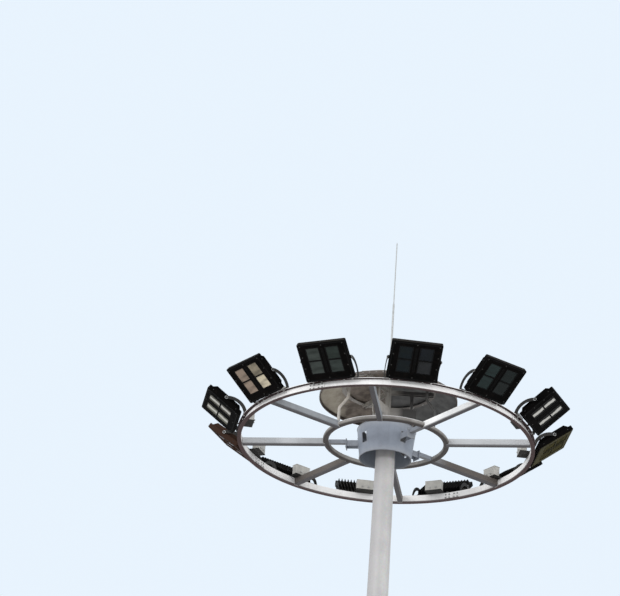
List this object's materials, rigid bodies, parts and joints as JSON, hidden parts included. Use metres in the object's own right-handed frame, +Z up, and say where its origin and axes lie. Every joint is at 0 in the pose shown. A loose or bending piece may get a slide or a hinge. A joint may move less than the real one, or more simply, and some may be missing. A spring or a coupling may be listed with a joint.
{
  "type": "high mast floodlight tower",
  "caption": "Tall tapered steel mast with a ring carriage of tilting floodlights that lowers on ropes, a sheave head under a rain cover, and a lightning rod.",
  "frame": {"origin": "centre of the base flange's underside, on the ground", "axes": "+Z up along the mast; the front, with the access door, faces -Y; +X to the right seen from the front"},
  "size_m": [4.7558, 4.7558, 27.73],
  "materials": {
    "shaft_steel": "matt zinc grey",
    "frame_steel": "dirty grey, matt",
    "sheave_iron": "rough",
    "bare_steel": "dull",
    "wire_rope": "dull",
    "cover_shell": "weathered",
    "ring_paint": "satin, stained",
    "roller_plastic": "matt",
    "yoke_paint": "matt",
    "driver_paint": "satin",
    "housing_black": "matt powder coat",
    "lamp_glass": "clear"
  },
  "bodies": {
    "mast": {"base_flange": "shaft_steel", "base_gussets": "shaft_steel", "door_frame": "shaft_steel", "access_door": "shaft_steel", "shaft_lower": "shaft_steel", "shaft_middle": "shaft_steel", "shaft_upper": "shaft_steel", "head_flange": "shaft_steel", "head_frame": "frame_steel", "sheaves": "sheave_iron", "sheave_pins": "bare_steel", "lift_ropes": "wire_rope", "rope_coupler": "bare_steel", "cover_posts": "frame_steel", "cover_ring": "frame_steel", "docking_horns": "frame_steel", "rain_cover": "cover_shell", "rod_base": "frame_steel", "lightning_rod": "bare_steel"},
    "carriage": {"outer_ring": "ring_paint", "inner_ring": "ring_paint", "spokes": "ring_paint", "guide_drum": "ring_paint", "guide_arms": "ring_paint", "guide_rollers": "roller_plastic", "roller_pins": "bare_steel", "rope_sockets": "bare_steel", "lamp_yokes": "yoke_paint", "hinge_bolts": "bare_steel", "driver_boxes": "driver_paint"},
    "floodlight_01": {"floodlight_01_housing": "housing_black", "floodlight_01_glass": "lamp_glass"},
    "floodlight_02": {"floodlight_02_housing": "housing_black", "floodlight_02_glass": "lamp_glass"},
    "floodlight_03": {"floodlight_03_housing": "housing_black", "floodlight_03_glass": "lamp_glass"},
    "floodlight_04": {"floodlight_04_housing": "housing_black", "floodlight_04_glass": "lamp_glass"},
    "floodlight_05": {"floodlight_05_housing": "housing_black", "floodlight_05_glass": "lamp_glass"},
    "floodlight_06": {"floodlight_06_housing": "housing_black", "floodlight_06_glass": "lamp_glass"},
    "floodlight_07": {"floodlight_07_housing": "housing_black", "floodlight_07_glass": "lamp_glass"},
    "floodlight_08": {"floodlight_08_housing": "housing_black", "floodlight_08_glass": "lamp_glass"},
    "floodlight_09": {"floodlight_09_housing": "housing_black", "floodlight_09_glass": "lamp_glass"},
    "floodlight_10": {"floodlight_10_housing": "housing_black", "floodlight_10_glass": "lamp_glass"},
    "floodlight_11": {"floodlight_11_housing": "housing_black", "floodlight_11_glass": "lamp_glass"},
    "floodlight_12": {"floodlight_12_housing": "housing_black", "floodlight_12_glass": "lamp_glass"}
  },
  "joints": [
    {"name": "carriage_travel", "type": "slide", "parent": "mast", "child": "carriage", "axis": [0, 0, 1], "range_m": [-23.19, 0]},
    {"name": "floodlight_01_tilt", "type": "hinge", "parent": "carriage", "child": "floodlight_01", "pos_m": [0.29435, -2.09442, 25.118], "axis": [0.9903, 0.1392, 0], "range_deg": [-45, 45]},
    {"name": "floodlight_02_tilt", "type": "hinge", "parent": "carriage", "child": "floodlight_02", "pos_m": [1.30212, -1.66664, 25.118], "axis": [0.788, 0.6157, 0], "range_deg": [-45, 45]},
    {"name": "floodlight_03_tilt", "type": "hinge", "parent": "carriage", "child": "floodlight_03", "pos_m": [1.96099, -0.79229, 25.118], "axis": [0.3746, 0.9272, 0], "range_deg": [-45, 45]},
    {"name": "floodlight_04_tilt", "type": "hinge", "parent": "carriage", "child": "floodlight_04", "pos_m": [2.09442, 0.29435, 25.118], "axis": [-0.1392, 0.9903, 0], "range_deg": [-45, 45]},
    {"name": "floodlight_05_tilt", "type": "hinge", "parent": "carriage", "child": "floodlight_05", "pos_m": [1.66664, 1.30212, 25.118], "axis": [-0.6157, 0.788, 0], "range_deg": [-45, 45]},
    {"name": "floodlight_06_tilt", "type": "hinge", "parent": "carriage", "child": "floodlight_06", "pos_m": [0.79229, 1.96099, 25.118], "axis": [-0.9272, 0.3746, 0], "range_deg": [-45, 45]},
    {"name": "floodlight_07_tilt", "type": "hinge", "parent": "carriage", "child": "floodlight_07", "pos_m": [-0.29435, 2.09442, 25.118], "axis": [-0.9903, -0.1392, 0], "range_deg": [-45, 45]},
    {"name": "floodlight_08_tilt", "type": "hinge", "parent": "carriage", "child": "floodlight_08", "pos_m": [-1.30212, 1.66664, 25.118], "axis": [-0.788, -0.6157, 0], "range_deg": [-45, 45]},
    {"name": "floodlight_09_tilt", "type": "hinge", "parent": "carriage", "child": "floodlight_09", "pos_m": [-1.96099, 0.79229, 25.118], "axis": [-0.3746, -0.9272, 0], "range_deg": [-45, 45]},
    {"name": "floodlight_10_tilt", "type": "hinge", "parent": "carriage", "child": "floodlight_10", "pos_m": [-2.09442, -0.29435, 25.118], "axis": [0.1392, -0.9903, 0], "range_deg": [-45, 45]},
    {"name": "floodlight_11_tilt", "type": "hinge", "parent": "carriage", "child": "floodlight_11", "pos_m": [-1.66664, -1.30212, 25.118], "axis": [0.6157, -0.788, 0], "range_deg": [-45, 45]},
    {"name": "floodlight_12_tilt", "type": "hinge", "parent": "carriage", "child": "floodlight_12", "pos_m": [-0.79229, -1.96099, 25.118], "axis": [0.9272, -0.3746, 0], "range_deg": [-45, 45]}
  ]
}
